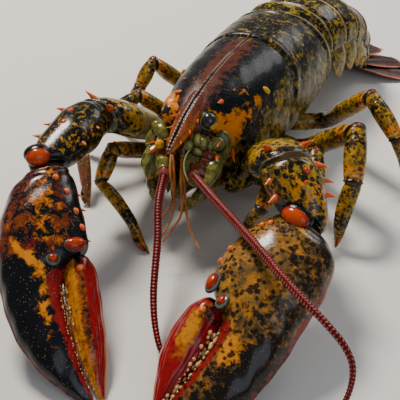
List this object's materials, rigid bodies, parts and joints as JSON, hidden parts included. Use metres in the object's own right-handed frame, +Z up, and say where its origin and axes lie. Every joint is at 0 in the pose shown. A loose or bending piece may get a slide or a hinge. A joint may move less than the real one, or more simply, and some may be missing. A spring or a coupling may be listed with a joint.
{
  "type": "american lobster",
  "caption": "Still, life-size american lobster standing on its legs and claw tips, with a crusher and a cutter claw, long antennae, arched abdomen and spread tail fan.",
  "frame": {"origin": "middle of the bounding box at floor level, under the animal", "axes": "+Z up, the head points to -Y, +X is the animal's left"},
  "size_m": [0.2154, 0.4072, 0.0792],
  "materials": {
    "carapace_shell": "glossy hard shell, near-black navy and maroon over olive-yellow mottling",
    "underside_shell": "satin shell, dull orange-brown",
    "abdomen_shell": "glossy hard shell, navy-brown mottled with olive, pale grey rims",
    "tail_fan_shell": "satin shell, dark red and grey-brown with an orange fringe",
    "eye_cornea": "very glossy, black",
    "eyestalk_shell": "glossy olive-yellow",
    "antenna_base_shell": "glossy olive-green with dark red hollows",
    "antenna_shell": "satin maroon, ringed with pale beads",
    "antennule_shell": "satin orange-tan",
    "mouthpart_shell": "glossy olive-brown",
    "arm_shell": "glossy hard shell, yellow-green and tan with black spots and orange spines",
    "cutter_claw_shell": "glossy hard shell, maroon, orange-brown and navy, red fingers",
    "crusher_claw_shell": "glossy hard shell, tan and amber with round black spots, red fingers",
    "leg_shell": "glossy shell, yellow-olive with dark speckles"
  },
  "bodies": {
    "root": {"carapace": "carapace_shell", "thorax_underside": "underside_shell", "abdomen_1": "abdomen_shell", "abdomen_2": "abdomen_shell", "abdomen_3": "abdomen_shell", "abdomen_4": "abdomen_shell", "abdomen_5": "abdomen_shell", "abdomen_6": "abdomen_shell", "telson": "tail_fan_shell", "uropod_inner_l": "tail_fan_shell", "uropod_inner_r": "tail_fan_shell", "uropod_outer_l": "tail_fan_shell", "uropod_outer_r": "tail_fan_shell", "eye_l": "eye_cornea", "eye_r": "eye_cornea", "eyestalk_l": "eyestalk_shell", "eyestalk_r": "eyestalk_shell", "antenna_base_l": "antenna_base_shell", "antenna_base_r": "antenna_base_shell", "antenna_l": "antenna_shell", "antenna_r": "antenna_shell", "antennule_l": "antennule_shell", "antennule_r": "antennule_shell", "maxilliped_l": "mouthpart_shell", "maxilliped_r": "mouthpart_shell", "ischium_l": "arm_shell", "ischium_r": "arm_shell", "merus_l": "arm_shell", "merus_r": "arm_shell", "carpus_l": "arm_shell", "carpus_r": "arm_shell", "palm_r": "cutter_claw_shell", "dactyl_r": "cutter_claw_shell", "palm_l": "crusher_claw_shell", "dactyl_l": "crusher_claw_shell", "leg2_l_upper": "leg_shell", "leg2_l_carpus": "leg_shell", "leg2_l_foot": "leg_shell", "leg2_r_upper": "leg_shell", "leg2_r_carpus": "leg_shell", "leg2_r_foot": "leg_shell", "leg3_l_upper": "leg_shell", "leg3_l_carpus": "leg_shell", "leg3_l_foot": "leg_shell", "leg3_r_upper": "leg_shell", "leg3_r_carpus": "leg_shell", "leg3_r_foot": "leg_shell", "leg4_l_upper": "leg_shell", "leg4_l_carpus": "leg_shell", "leg4_l_foot": "leg_shell", "leg4_r_upper": "leg_shell", "leg4_r_carpus": "leg_shell", "leg4_r_foot": "leg_shell", "leg5_l_upper": "leg_shell", "leg5_l_carpus": "leg_shell", "leg5_l_foot": "leg_shell", "leg5_r_upper": "leg_shell", "leg5_r_carpus": "leg_shell", "leg5_r_foot": "leg_shell"}
  },
  "joints": []
}
